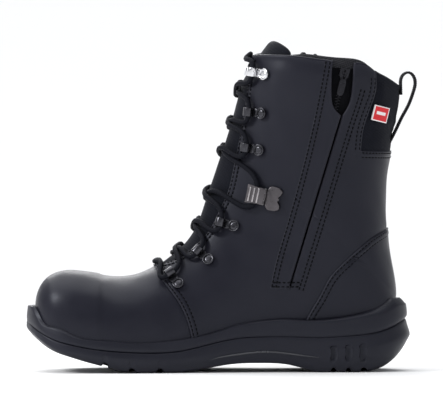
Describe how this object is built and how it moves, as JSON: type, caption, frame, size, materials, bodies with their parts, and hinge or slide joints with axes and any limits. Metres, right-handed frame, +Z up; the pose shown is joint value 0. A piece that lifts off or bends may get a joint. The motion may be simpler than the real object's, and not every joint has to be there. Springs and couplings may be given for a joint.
{
  "type": "fire station boot",
  "caption": "Black laced and side-zipped leather firefighter boot with toe cap, lace locks, heel pull loop and moulded non-slip sole.",
  "frame": {"origin": "centre of the bounding box in plan, on the ground under the sole", "axes": "toe towards -X, heel towards +X, inner (zip) side towards -Y, +Z up"},
  "size_m": [0.3099, 0.1092, 0.262],
  "materials": {
    "black_leather": "satin full-grain",
    "black_rubber": "satin moulded",
    "dark_textile": "matte woven",
    "webbing": "ribbed weave",
    "black_cord": "braided",
    "red_woven": "woven label",
    "foam": "matte foam",
    "lining_mesh": "spacer mesh",
    "footbed_felt": "felt",
    "steel": "satin",
    "gunmetal": "dark nickel",
    "bright_nickel": "polished",
    "lock_bronze": "satin dark bronze",
    "fibre_board": "matte board"
  },
  "bodies": {
    "boot": {"collar_pad_lateral": "foam", "collar_pad_medial": "foam", "footbed": "footbed_felt", "heel_counter_cover": "black_leather", "heel_stiffener": "fibre_board", "insole_board": "fibre_board", "lace": "black_cord", "lace_loop_lateral_1": "gunmetal", "lace_loop_lateral_2": "gunmetal", "lace_loop_lateral_3": "gunmetal", "lace_loop_lateral_4": "gunmetal", "lace_loop_lateral_5": "gunmetal", "lace_loop_lateral_6": "gunmetal", "lace_loop_medial_1": "gunmetal", "lace_loop_medial_2": "gunmetal", "lace_loop_medial_3": "gunmetal", "lace_loop_medial_4": "gunmetal", "lace_loop_medial_5": "gunmetal", "lace_loop_medial_6": "gunmetal", "lining": "lining_mesh", "lock_pin_lateral": "steel", "lock_pin_medial": "steel", "lock_plate_lateral": "lock_bronze", "lock_plate_medial": "lock_bronze", "loop_rivet_lateral_1": "gunmetal", "loop_rivet_lateral_2": "gunmetal", "loop_rivet_lateral_3": "gunmetal", "loop_rivet_lateral_4": "gunmetal", "loop_rivet_lateral_5": "gunmetal", "loop_rivet_lateral_6": "bright_nickel", "loop_rivet_medial_1": "gunmetal", "loop_rivet_medial_2": "gunmetal", "loop_rivet_medial_3": "gunmetal", "loop_rivet_medial_4": "gunmetal", "loop_rivet_medial_5": "gunmetal", "loop_rivet_medial_6": "bright_nickel", "midsole": "black_rubber", "outsole": "black_rubber", "pull_loop": "webbing", "puncture_plate": "steel", "quarter_lateral": "black_leather", "quarter_medial": "black_leather", "rear_flex_panel": "dark_textile", "shank": "steel", "side_label": "red_woven", "toe_cap": "steel", "tongue": "dark_textile", "vamp": "black_leather", "zip_bottom_stop": "gunmetal", "zip_chain": "gunmetal", "zip_flap": "black_leather", "zip_tape_front": "webbing", "zip_tape_rear": "webbing"},
    "zip_slider": {"zip_slider": "gunmetal"},
    "zip_puller": {"zip_puller": "gunmetal"},
    "lock_clamp_medial": {"lock_clamp_medial": "lock_bronze"},
    "lock_clamp_lateral": {"lock_clamp_lateral": "lock_bronze"}
  },
  "joints": [
    {"name": "zip_slide", "type": "slide", "parent": "boot", "child": "zip_slider", "axis": [-0.2467, 0.0616, -0.9671], "range_m": [0, 0.16]},
    {"name": "puller_swing", "type": "hinge", "parent": "zip_slider", "child": "zip_puller", "pos_m": [0.09598, -0.05132, 0.23609], "axis": [-0.9674, -0.0743, 0.242], "range_deg": [0, 160]},
    {"name": "medial_lock_opens", "type": "hinge", "parent": "boot", "child": "lock_clamp_medial", "pos_m": [0.03219, -0.0402, 0.13874], "axis": [0.2071, -0.0557, 0.9767], "range_deg": [0, 95]},
    {"name": "lateral_lock_opens", "type": "hinge", "parent": "boot", "child": "lock_clamp_lateral", "pos_m": [0.03225, 0.04106, 0.13881], "axis": [-0.2135, -0.0383, -0.9762], "range_deg": [0, 95]}
  ]
}
